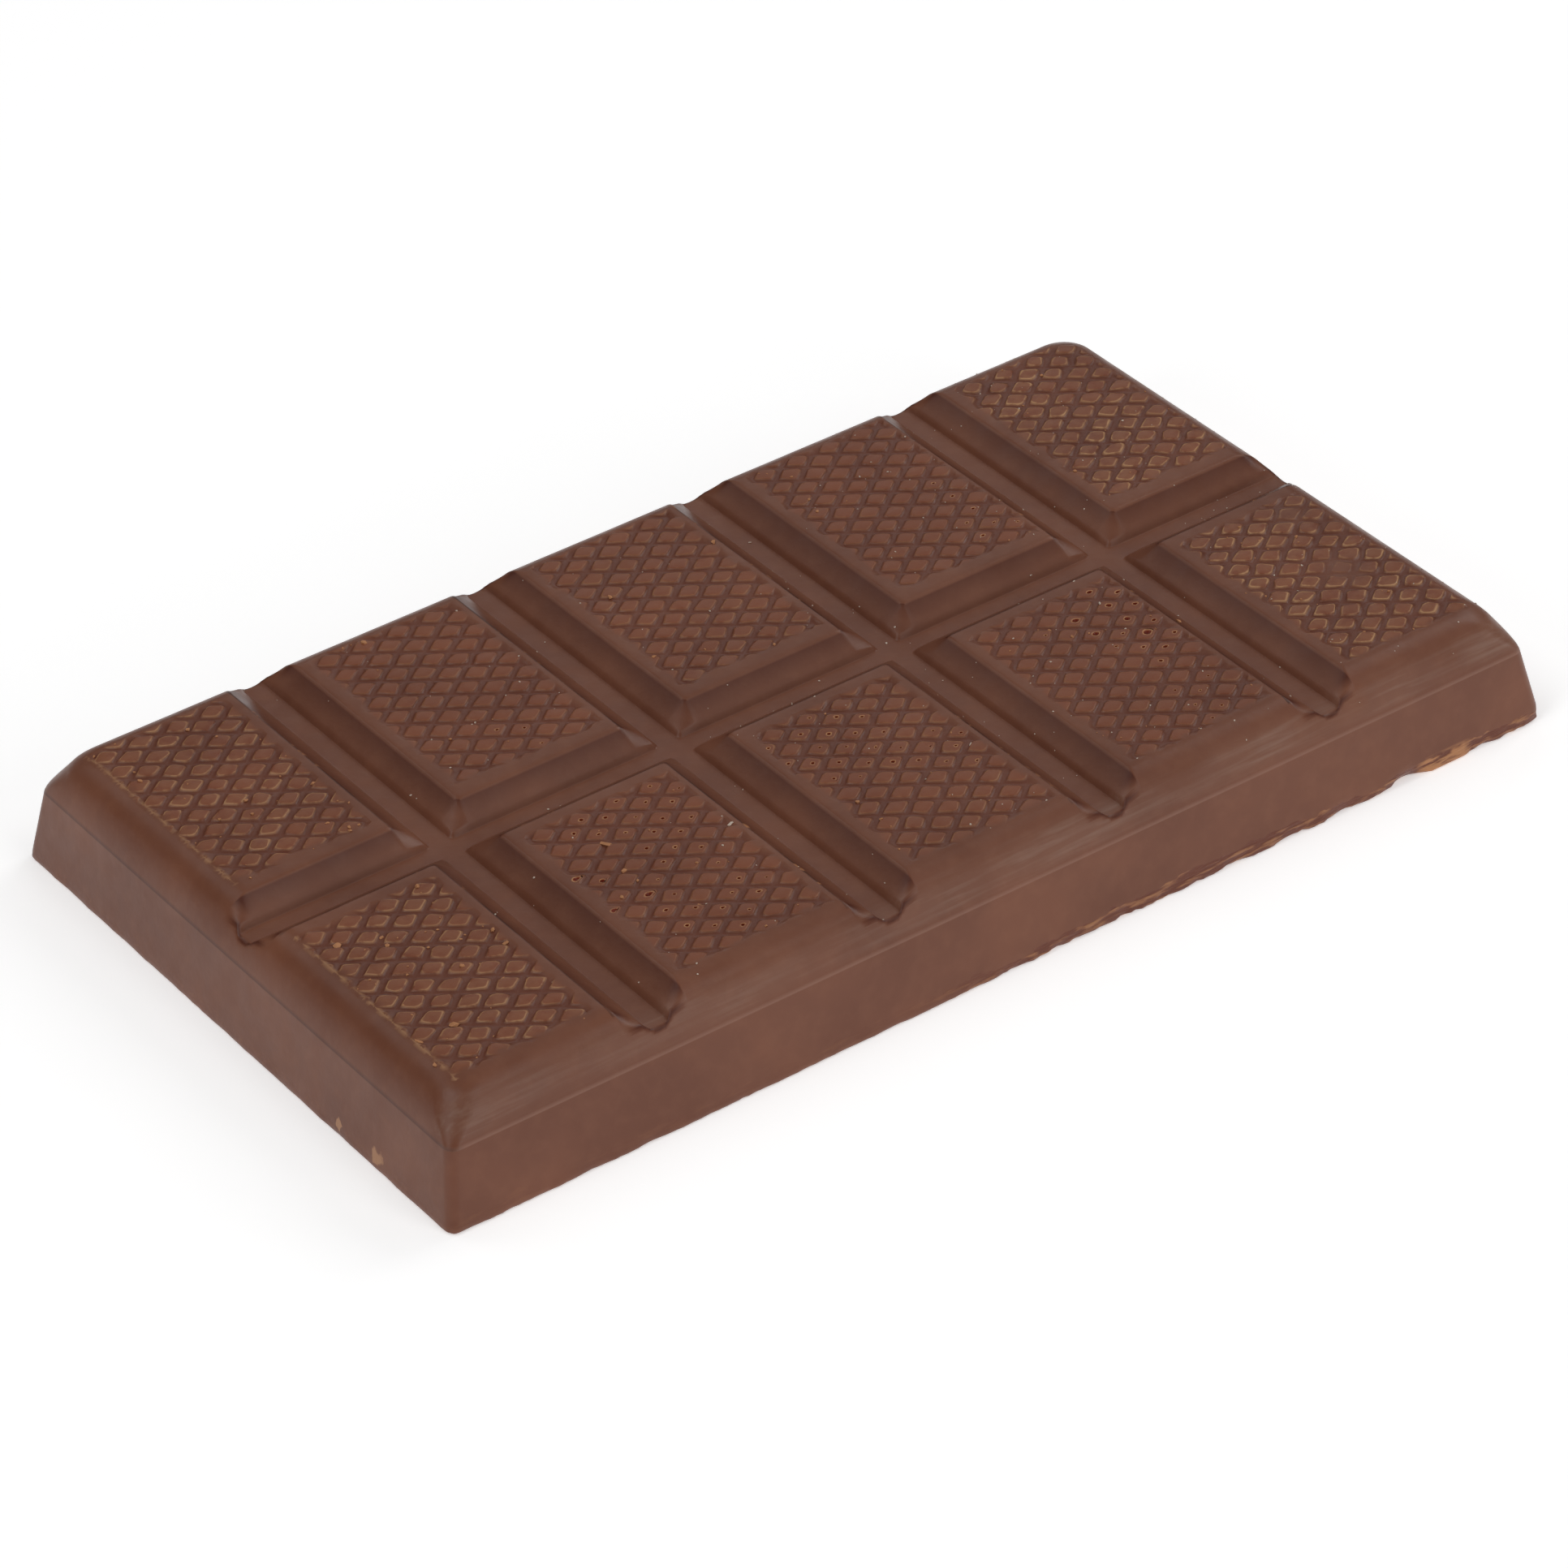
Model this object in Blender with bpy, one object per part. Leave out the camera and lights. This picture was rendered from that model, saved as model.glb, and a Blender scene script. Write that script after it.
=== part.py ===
"""Milk chocolate bar: one moulded slab of two rows of five pieces, parted by rounded grooves.

The slab stands on its flat underside at z = 0. Its long side runs along X and its short side
along Y. The engraved lozenges on each piece are finer than this solid and are left to the finish.
"""

import math

import bmesh
import bpy

# Driving dimensions, in metres.
COLUMNS = 5
COLUMN_PITCH = 0.0220
FOOT_LENGTH = 0.1082
FOOT_WIDTH = 0.0630
HEIGHT = 0.0106

# The side, from the foot up: a small rounded foot, a steep drafted band up to a crease, then a
# face that leans in more and rolls over into the flat top.
FOOT_ROUND = 0.0003
CREASE_HEIGHT = 0.00675
CREASE_INSET = 0.00125
UPPER_LEAN = math.radians(23)
SHOULDER_RADIUS = 0.0012
SHOULDER_STEPS = 6
CORNER_RADIUS = 0.0020
CORNER_STEPS = 7

# A groove, from its middle out: a flat floor, a small fillet, a sloped wall and a wide round brow.
GROOVE_DEPTH = 0.0019
GROOVE_HALF_WIDTH = 0.0017
WALL_SLOPE = math.radians(50)
FILLET_RADIUS = 0.0005
FILLET_STEPS = 3
BROW_RADIUS = 0.0017
BROW_STEPS = 6
BROW_END_SLOPE = math.radians(3)
CUTTER_MARGIN = 0.003

CHOCOLATE_COLOUR = (0.160, 0.073, 0.051, 1.0)
CHOCOLATE_ROUGHNESS = 0.42


def clear_scene():
    """Start from an empty scene."""
    for item in list(bpy.data.objects):
        bpy.data.objects.remove(item, do_unlink=True)


def chocolate_material():
    """Matt milk-brown chocolate with a low sheen."""
    material = bpy.data.materials.new("milk_chocolate")
    material.use_nodes = True
    shader = material.node_tree.nodes["Principled BSDF"]
    shader.inputs["Base Color"].default_value = CHOCOLATE_COLOUR
    shader.inputs["Roughness"].default_value = CHOCOLATE_ROUGHNESS
    shader.inputs["Metallic"].default_value = 0.0
    return material


def add_object(name, mesh_data):
    """Turn a bmesh into an object of the scene."""
    mesh = bpy.data.meshes.new(name)
    bmesh.ops.recalc_face_normals(mesh_data, faces=mesh_data.faces)
    mesh_data.to_mesh(mesh)
    mesh_data.free()
    item = bpy.data.objects.new(name, mesh)
    bpy.context.scene.collection.objects.link(item)
    return item


def side_profile():
    """Heights and insets of the side, from the foot to the edge of the flat top."""
    profile = [(0.0, FOOT_ROUND), (FOOT_ROUND, 0.0), (CREASE_HEIGHT, CREASE_INSET)]
    steepest = math.pi / 2 - UPPER_LEAN
    roll_start = HEIGHT - SHOULDER_RADIUS * (1 - math.cos(steepest))
    roll_inset = CREASE_INSET + (roll_start - CREASE_HEIGHT) * math.tan(UPPER_LEAN)
    for step in range(SHOULDER_STEPS + 1):
        slope = steepest * (1 - step / SHOULDER_STEPS)
        inset = roll_inset + SHOULDER_RADIUS * (math.sin(steepest) - math.sin(slope))
        profile.append((HEIGHT - SHOULDER_RADIUS * (1 - math.cos(slope)), inset))
    return profile


def draw_in(verts, step):
    """Move the points of a ring towards the middle, each corner as a whole, to keep its radius."""
    for vert in verts:
        vert.co.x -= step * math.copysign(1.0, vert.co.x)
        vert.co.y -= step * math.copysign(1.0, vert.co.y)


def make_slab():
    """Draw the rounded rectangle of the foot, then raise it ring by ring along the side profile."""
    slab = bmesh.new()
    bmesh.ops.create_grid(slab, x_segments=1, y_segments=1, size=0.5)
    bmesh.ops.scale(slab, verts=slab.verts, vec=(FOOT_LENGTH, FOOT_WIDTH, 1.0))
    bmesh.ops.bevel(
        slab,
        geom=slab.verts[:],
        offset=CORNER_RADIUS,
        offset_type="OFFSET",
        affect="VERTICES",
        segments=CORNER_STEPS,
        profile=0.5,
        material=-1,
    )
    foot = next(iter(slab.faces))
    top = foot
    _, last_inset = side_profile()[0]
    draw_in(foot.verts, last_inset)
    for height, inset in side_profile()[1:]:
        below = top
        grown = bmesh.ops.extrude_face_region(slab, geom=[below])
        top = next(part for part in grown["geom"] if isinstance(part, bmesh.types.BMFace))
        draw_in(top.verts, inset - last_inset)
        bmesh.ops.translate(slab, verts=top.verts[:], vec=(0.0, 0.0, height - top.verts[0].co.z))
        last_inset = inset
        if below is not foot:
            slab.faces.remove(below)
    return add_object("chocolate_bar", slab)


def groove_profile():
    """Half of a groove's section, as distances from its middle and heights, floor to brow."""
    floor = HEIGHT - GROOVE_DEPTH
    wall_foot = GROOVE_HALF_WIDTH - GROOVE_DEPTH / 2 / math.tan(WALL_SLOPE)
    wall_head = GROOVE_HALF_WIDTH + GROOVE_DEPTH / 2 / math.tan(WALL_SLOPE)
    fillet_start = wall_foot - FILLET_RADIUS * math.tan(WALL_SLOPE / 2)
    brow_end = wall_head + BROW_RADIUS * math.tan(WALL_SLOPE / 2)
    points = []
    for step in range(FILLET_STEPS + 1):
        slope = WALL_SLOPE * step / FILLET_STEPS
        rise = FILLET_RADIUS * (1 - math.cos(slope))
        points.append((fillet_start + FILLET_RADIUS * math.sin(slope), floor + rise))
    for step in range(BROW_STEPS + 1):
        slope = WALL_SLOPE + (BROW_END_SLOPE - WALL_SLOPE) * step / BROW_STEPS
        drop = BROW_RADIUS * (1 - math.cos(slope))
        points.append((brow_end - BROW_RADIUS * math.sin(slope), HEIGHT - drop))
    last_distance, last_height = points[-1]
    run_out = (HEIGHT + FOOT_ROUND - last_height) / math.tan(BROW_END_SLOPE)
    points.append((last_distance + run_out, HEIGHT + FOOT_ROUND))
    return points


def make_groove_cutter(name, half_length):
    """A long bar with the groove's section, running along Y, that the Boolean takes away."""
    half = groove_profile()
    outline = [(-distance, height) for distance, height in reversed(half)] + half
    cutter = bmesh.new()
    verts = [cutter.verts.new((distance, -half_length, height)) for distance, height in outline]
    lid_height = HEIGHT + CUTTER_MARGIN
    verts.append(cutter.verts.new((outline[-1][0], -half_length, lid_height)))
    verts.append(cutter.verts.new((outline[0][0], -half_length, lid_height)))
    end = cutter.faces.new(verts)
    grown = bmesh.ops.extrude_face_region(cutter, geom=[end])
    far_verts = [part for part in grown["geom"] if isinstance(part, bmesh.types.BMVert)]
    bmesh.ops.translate(cutter, verts=far_verts, vec=(0, 2 * half_length, 0))
    item = add_object(name, cutter)
    item.hide_render = True
    item.display_type = "WIRE"
    return item


def cut(item, cutter):
    """Take the cutter's volume out of an object."""
    boolean = item.modifiers.new("cut_" + cutter.name, "BOOLEAN")
    boolean.operation = "DIFFERENCE"
    boolean.solver = "EXACT"
    boolean.object = cutter


def build():
    clear_scene()
    bar = make_slab()
    bar.data.materials.append(chocolate_material())
    for index in range(1, COLUMNS):
        cutter = make_groove_cutter(f"cross_groove_{index}", FOOT_WIDTH / 2 + CUTTER_MARGIN)
        cutter.location.x = (index - COLUMNS / 2) * COLUMN_PITCH
        cut(bar, cutter)
    long_cutter = make_groove_cutter("long_groove", FOOT_LENGTH / 2 + CUTTER_MARGIN)
    long_cutter.rotation_euler.z = math.pi / 2
    cut(bar, long_cutter)


build()
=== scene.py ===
import math
import random

import bmesh
import bpy
from mathutils import Euler, Matrix, Vector, noise
from mathutils.bvhtree import BVHTree


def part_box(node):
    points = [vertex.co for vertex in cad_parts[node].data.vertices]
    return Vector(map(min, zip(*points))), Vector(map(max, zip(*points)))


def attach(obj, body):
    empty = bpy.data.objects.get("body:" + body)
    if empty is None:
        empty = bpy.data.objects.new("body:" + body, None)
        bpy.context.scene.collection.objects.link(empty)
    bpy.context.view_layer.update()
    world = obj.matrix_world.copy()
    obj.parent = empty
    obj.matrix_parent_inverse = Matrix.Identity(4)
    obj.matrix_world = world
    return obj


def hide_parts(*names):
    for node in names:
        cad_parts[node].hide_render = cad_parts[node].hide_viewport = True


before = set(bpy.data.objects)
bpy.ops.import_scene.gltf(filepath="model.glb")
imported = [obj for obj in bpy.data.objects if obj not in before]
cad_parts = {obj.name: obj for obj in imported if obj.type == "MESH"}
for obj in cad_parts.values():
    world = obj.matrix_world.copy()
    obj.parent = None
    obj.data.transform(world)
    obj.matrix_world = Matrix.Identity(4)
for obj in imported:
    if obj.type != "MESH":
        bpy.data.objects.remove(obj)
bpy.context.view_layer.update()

scene = bpy.context.scene

# The camera: a long lens held above the bar's front left corner, turned a little on its axis.
# It makes no piece of the object.
camera_azimuth = math.radians(-34.037)
camera_elevation = math.radians(35.343)
camera_roll = math.radians(-2.911)
camera_distance = 0.53623
camera_target = Vector((-0.000198, 0.000662, 0.0))

camera_back = Vector((
    math.sin(camera_azimuth) * math.cos(camera_elevation),
    -math.cos(camera_azimuth) * math.cos(camera_elevation),
    math.sin(camera_elevation),
))
camera_right = Vector((0.0, 0.0, 1.0)).cross(camera_back).normalized()
camera_up = camera_back.cross(camera_right)
rolled_right = math.cos(camera_roll) * camera_right + math.sin(camera_roll) * camera_up
rolled_up = math.cos(camera_roll) * camera_up - math.sin(camera_roll) * camera_right
camera_data = bpy.data.cameras.new("camera")
camera_data.sensor_width = 36.0
camera_data.lens = 149.87
camera_data.clip_start = 0.01
camera_data.clip_end = 20.0
camera = bpy.data.objects.new("camera", camera_data)
scene.collection.objects.link(camera)
camera.matrix_world = Matrix.Translation(camera_target + camera_distance * camera_back) @ Matrix(
    (rolled_right, rolled_up, camera_back)
).transposed().to_4x4()
scene.camera = camera

# The slab: milk chocolate cast in a mould and turned out, so that the flat underside is the open
# face of the cast. Its sides lean in for release, and round grooves part it into ten pieces.
# Sizes are in millimetres until the finished mesh is scaled to metres. Its surface is smoother and
# rounder than the plain solid: the shoulder bows, the grooves end round and the foot is uneven.
bar_low, bar_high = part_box("chocolate_bar")
bar_length, bar_width, bar_height = (1000.0 * side for side in bar_high - bar_low)
columns = 5
pitch = 22.0
foot_round = 0.3
crease_height = 6.75
crease_inset = 1.25
crease_lean = math.radians(16)
upper_radius = 9.1
shoulder_lean = math.radians(33)
corner_radius = 1.0
top_corner_radius = 2.6
full_corner_height = 9.2
band_heights = (0.6, 0.95, 1.4, 2.0, 2.9, 4.0, 5.2, 6.1, 6.5, 6.65, crease_height)
groove_depth = 1.9
floor_half_width = 0.85
fillet_radius = 0.15
foot_slope = math.radians(64)
foot_radius = 1.4
wall_slope = math.radians(36)
brow_radius = 0.5
rest_slope = math.radians(5)
rest_radius = 5.0
piece_corner_radius = 0.5
groove_end_inset = 2.9
lip_round = 0.6
lip_fade = 0.8
# A row of points this close to a bend keeps its shading crisp.
bend_support = 0.12


def arc_steps(start, end, count):
    """Evenly spread values from start to end, both included."""
    return [start + (end - start) * step / count for step in range(count + 1)]


def side_rings():
    """Heights, insets and corner radii of the rings that the side is raised through, foot first.

    A straight drafted band reaches the crease. Above it the side bows inwards, then rolls over.
    """
    rings = [(0.0, foot_round), (0.08, 0.09), (foot_round, 0.0)]
    for ring_height in band_heights:
        share = (ring_height - foot_round) / (crease_height - foot_round)
        rings.append((ring_height, crease_inset * share))
    for lean in arc_steps(crease_lean, shoulder_lean, 8)[1:]:
        rise = upper_radius * (math.sin(lean) - math.sin(crease_lean))
        run = upper_radius * (math.cos(crease_lean) - math.cos(lean))
        rings.append((crease_height + rise, crease_inset + run))
    roll_height, roll_inset = rings[-1]
    shoulder_radius = (bar_height - roll_height) / (1 - math.sin(shoulder_lean))
    for lean in arc_steps(shoulder_lean, math.pi / 2, 14)[1:]:
        rise = shoulder_radius * (math.sin(lean) - math.sin(shoulder_lean))
        run = shoulder_radius * (math.cos(shoulder_lean) - math.cos(lean))
        rings.append((roll_height + rise, roll_inset + run))
    full = []
    for height, inset in rings:
        share = (height - crease_height) / (full_corner_height - crease_height)
        share = min(1.0, max(0.0, share))
        growth = (top_corner_radius - corner_radius) * share**2 * (3 - 2 * share)
        full.append((height, inset, corner_radius + growth))
    return full


def groove_section():
    """Half of a groove's section: distances from its middle and heights, floor to flat top.

    A small fillet rises from the floor into a steep foot, which eases into the straight wall. The
    wall ends in a tight brow, and the last of the slope fades out over the top.
    """
    bends = [
        (0.0, foot_slope, fillet_radius, 3),
        (foot_slope, wall_slope, foot_radius, 4),
        (wall_slope, rest_slope, brow_radius, 4),
        (rest_slope, 0.0, rest_radius, 2),
    ]
    rises = [radius * abs(math.cos(start) - math.cos(end)) for start, end, radius, _ in bends]
    section = [(floor_half_width - bend_support, 0.0), (floor_half_width, 0.0)]
    for index, (start, end, radius, count) in enumerate(bends):
        distance, rise = section[-1]
        if index == 2:
            straight = groove_depth - sum(rises)
            for part in (straight - bend_support, bend_support):
                distance += part / math.tan(wall_slope)
                rise += part
                section.append((distance, rise))
        for slope in arc_steps(start, end, count)[1:]:
            section.append((
                distance + radius * abs(math.sin(slope) - math.sin(start)),
                rise + radius * abs(math.cos(slope) - math.cos(start)),
            ))
    return [(distance, bar_height - groove_depth + rise) for distance, rise in section]


section = groove_section()
shoulder_rings = [(inset, height) for height, inset, _ in side_rings() if height > crease_height]
brow_end = section[-1][0]
groove_centres = [(index - columns / 2) * pitch for index in range(1, columns)]


def section_height(distance):
    """Height of the bar's top at a distance from a groove's middle."""
    if distance <= section[0][0]:
        return section[0][1]
    for (near, low), (far, high) in zip(section, section[1:]):
        if distance <= far:
            return low + (high - low) * (distance - near) / (far - near)
    return bar_height


def top_height(x, y):
    """Height of the grooved top: rounded where grooves cross, and a groove's end is round too."""
    past_end = max(0.0, abs(y) - bar_width / 2 + groove_end_inset)
    across = math.hypot(min(abs(x - centre) for centre in groove_centres), past_end)
    past_end = max(0.0, abs(x) - bar_length / 2 + groove_end_inset)
    along = math.hypot(y, past_end)
    if abs(across - along) < piece_corner_radius:
        spread = 2 * piece_corner_radius**2 - (across - along) ** 2
        nearest = (across + along + math.sqrt(spread)) / 2 - piece_corner_radius
        return section_height(nearest)
    return section_height(min(across, along))


def inset_at(x, y):
    """How far a point of the top lies inside the bar's outline."""
    past_x = abs(x) - bar_length / 2 + top_corner_radius
    past_y = abs(y) - bar_width / 2 + top_corner_radius
    if abs(past_x - past_y) < top_corner_radius:
        spread = 2 * top_corner_radius**2 - (past_x - past_y) ** 2
        return (math.sqrt(spread) - past_x - past_y) / 2
    return top_corner_radius - max(past_x, past_y)


def side_height(x, y):
    """Height of the bar's rolled side over a point, before any groove is cut."""
    inset = inset_at(x, y)
    for (near, low), (far, high) in zip(shoulder_rings, shoulder_rings[1:]):
        if inset <= far:
            return low + (high - low) * (inset - near) / (far - near)
    return bar_height


def shoulder_height(x, y):
    """Height of a piece's top, which rolls over at the bar's sides and eases into the grooves."""
    return min(top_height(x, y), side_height(x, y))


# The engraved fields: on each piece a lattice of small lozenge pads stands in narrow channels.
# The mould's engraving starts afresh on each piece, so each field has its own first pad.
pad_half_x = 1.698
pad_half_y = 1.294
field_rows = {"back": (4.3, 27.3), "front": (-27.0, -4.3)}
field_columns = [(-50.15, -36.9), (-29.33, -14.67), (-7.33, 7.33), (14.67, 29.66), (36.7, 50.1)]
first_pads = {
    "back": [(-48.85, 25.91), (-27.36, 26.09), (-5.32, 26.18), (16.78, 26.30), (38.79, 26.14)],
    "front": [(-48.81, -5.35), (-27.29, -5.31), (-5.23, -5.55), (16.69, -5.33), (38.67, -5.37)],
}
# Round each field lies a flat seam, and round that a gap that a strip of triangles closes later.
seam = 0.06
hole_gap = 0.12
opening_margin = seam + hole_gap
# Pinholes from air caught in the mould, pad by pad: rows run away from the grooves' crossing to
# the front, columns to the right, and a capital marks a large one.
pinholes = {
    (1, "front"): [
        "...o.o.o.", "..o.o.o.o", "...o.o.o.", "....o.o..", ".....o.o.", "O...o.o..",
        ".O...o...", "....o.o..", "...o.....", "O.O...o..", "...o.....", "..o...o..",
        "...o.o.o.", "..o.o.o..", "...o.o...", "....o....",
    ],
    (2, "front"): [
        "...o.....", "o.o.o....", "...o.o...", "o.o.o....", ".o.o.o...", "..o.o....",
        ".o.o.o.o.", "..o.o.o.o", ".....o.o.", "......o..", ".......o.",
    ],
    (3, "front"): [
        ".......O.", "........O", "...o.O.O.", "........O", ".....O.O.", "......o.O",
        ".....o.O.", "......o.o", ".......O.", "......o..", "", "",
        ".....o.o.", "......o..", ".....o...", "......o..", ".....o...",
    ],
    (1, "back"): [""] * 13 + ["....o", ".....o", "", ".....o"],
    (3, "back"): [""] * 8 + [
        ".......o", "", ".......o", "", ".......o", "......o", ".......o", "......o.o",
        "", "........o",
    ],
}
# A pinhole's tan ring and its bore, as radii.
pinhole_sizes = {"o": (0.3, 0.13), "O": (0.46, 0.27)}
pinhole_depth = 0.3
# The noise that ruffles outlines and grains starts from the same place on each run.
noise.seed_set(4)

bar_mesh = bmesh.new()
bmesh.ops.create_grid(bar_mesh, x_segments=1, y_segments=1, size=0.5)
bmesh.ops.scale(bar_mesh, verts=bar_mesh.verts, vec=(bar_length, bar_width, 1.0))
bmesh.ops.bevel(
    bar_mesh,
    geom=bar_mesh.verts[:],
    offset=corner_radius,
    offset_type="OFFSET",
    affect="VERTICES",
    segments=9,
    profile=0.5,
    material=-1,
)
foot = next(iter(bar_mesh.faces))
top = foot
last_inset = 0.0
last_radius = corner_radius
for ring_height, ring_inset, ring_radius in side_rings():
    below = top
    if ring_height > 0.0:
        grown = bmesh.ops.extrude_face_region(bar_mesh, geom=[below])
        top = next(part for part in grown["geom"] if isinstance(part, bmesh.types.BMFace))
        if below is not foot:
            bar_mesh.faces.remove(below)
    for vert in top.verts:
        for axis, half in ((0, bar_length / 2), (1, bar_width / 2)):
            turn = (abs(vert.co[axis]) - (half - last_inset - last_radius)) / last_radius
            reach = half - ring_inset - ring_radius * (1 - turn)
            vert.co[axis] = math.copysign(reach, vert.co[axis])
        vert.co.z = ring_height
    last_inset = ring_inset
    last_radius = ring_radius


def cut_lines(mesh, lines, axis, lowest, highest=99.0):
    """Cut a mesh along lines across one axis, between two heights, but never its underside."""
    for line in sorted(lines):
        faces = []
        for face in mesh.faces:
            heights = [vert.co.z for vert in face.verts]
            if min(heights) >= lowest and 0.05 < max(heights) <= highest:
                faces.append(face)
        edges = {edge for face in faces for edge in face.edges}
        verts = {vert for face in faces for vert in face.verts}
        bmesh.ops.bisect_plane(
            mesh,
            geom=[*verts, *edges, *faces],
            dist=0.004,
            plane_co=axis * line,
            plane_no=axis,
        )


x_axis = Vector((1.0, 0.0, 0.0))
y_axis = Vector((0.0, 1.0, 0.0))
all_heights = -1.0
worn_height = 1.4
cut_lines(bar_mesh, arc_steps(-52.0, 52.0, 200), x_axis, all_heights, worn_height + 0.05)
cut_lines(bar_mesh, arc_steps(-30.0, 30.0, 60), y_axis, all_heights, worn_height + 0.05)
side_lines = {edge for first, last in field_columns for edge in arc_steps(first, last, 8)}
end_lines = {edge for first, last in field_rows.values() for edge in arc_steps(first, last, 14)}
cut_lines(bar_mesh, side_lines, x_axis, all_heights)
cut_lines(bar_mesh, end_lines | {0.0}, y_axis, all_heights)
above_crease = crease_height - 0.01
groove_sides = {side * distance for distance, _ in section for side in (-1, 1)} | {-0.45, 0.0, 0.45}
cross_lines = {centre + side for centre in groove_centres for side in groove_sides}
long_lines = set(groove_sides)
for first, last in field_columns:
    cross_lines |= {first - opening_margin, last + opening_margin}
for first, last in field_rows.values():
    long_lines |= {first - opening_margin, last + opening_margin}
cut_lines(bar_mesh, cross_lines, x_axis, above_crease)
cut_lines(bar_mesh, long_lines, y_axis, above_crease)

# The mould's back was scraped level, which left the foot uneven: most along the front, with one
# bite out of it near the right end and a spared lump beside the bite.
front_line = -30.0
side_reach = 1.3
bite_place, bite_reach, bite_depth = 39.6, 1.7, 0.9
lump_place, lump_reach, lump_depth = 43.5, 1.8, 0.5
for vert in bar_mesh.verts:
    fade = max(0.0, 1.0 - vert.co.z / worn_height) ** 1.5
    if fade > 0.0:
        rough = 0.5 + noise.noise(vert.co * 0.35)
        rough += 0.5 * noise.noise(vert.co * 1.1) + 0.4 * noise.noise(vert.co * 2.3)
        front = min(1.0, max(0.0, (vert.co.x + 6.0) / 8.0)) if vert.co.y < front_line else 0.0
        depth = (0.14 + 0.24 * front) * max(0.0, rough)
        if vert.co.y < front_line:
            depth += bite_depth * math.exp(-(((vert.co.x - bite_place) / bite_reach) ** 2))
            depth -= lump_depth * math.exp(-(((vert.co.x - lump_place) / lump_reach) ** 2))
        depth = max(0.0, depth) * fade
        if abs(vert.co.y) > bar_width / 2 - side_reach:
            vert.co.y -= math.copysign(depth, vert.co.y)
        if abs(vert.co.x) > bar_length / 2 - side_reach:
            vert.co.x -= math.copysign(0.6 * depth, vert.co.x)

# The grooves are pressed into the top, with a soft lip where one runs out over the side.
for vert in bar_mesh.verts:
    if vert.co.z > bar_height - groove_depth - lip_fade:
        cut = top_height(vert.co.x, vert.co.y)
        lower = min(cut, vert.co.z)
        blend = lip_round * min(1.0, max(0.0, (bar_height - lower) / lip_fade))
        if blend > 0.0:
            overlap = max(0.0, blend - abs(cut - vert.co.z)) / blend
            lower -= overlap * overlap * blend / 4
        vert.co.z = lower

shoulder_drop = 1.4
inside = []
for face in bar_mesh.faces:
    centre = face.calc_center_median()
    in_column = any(
        first - opening_margin < centre.x < last + opening_margin for first, last in field_columns
    )
    in_row = any(
        first - opening_margin < centre.y < last + opening_margin
        for first, last in field_rows.values()
    )
    if centre.z > bar_height - shoulder_drop and in_column and in_row:
        inside.append(face)
bmesh.ops.delete(bar_mesh, geom=inside, context="FACES")

channel_depth = 0.18
border_run = 0.7
fade_in = 0.3
flat_inset = 3.6
# Where the engraving was smeared: plan position and reach.
smears = [(45.4, -16.0, 3.0), (47.3, -6.9, 2.2)]
# Each ring of a pad: the share of its cell it spans across and along, its rise, its corner radius
# and how pale its rim is painted, for rubbing and partly as a painted highlight.
pad_rings = [
    (0.775, 0.75, 0.0, 0.12, 0.0),
    (0.71, 0.68, 0.13, 0.14, 0.5),
    (0.67, 0.64, 0.165, 0.15, 1.0),
    (0.57, 0.54, 0.178, 0.14, 0.12),
]
# From a cell's own square grid to the bar: the grid is turned on its corner and drawn to size.
lattice = Matrix((
    (pad_half_x, pad_half_x, 0, 0),
    (pad_half_y, -pad_half_y, 0, 0),
    (0, 0, 1, 0),
    (0, 0, 0, 1),
))
# What a square corner and the middle of a side are drawn back by, of a pad's corner radius.
corner_pull = 0.293
# How near to a field's edge a pinhole's middle may lie, how much the left border of the left pieces
# is rubbed, and how near an edge a point counts as on it.
hole_inset = 0.7
left_border_rub = 0.6
on_border = 0.003


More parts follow.
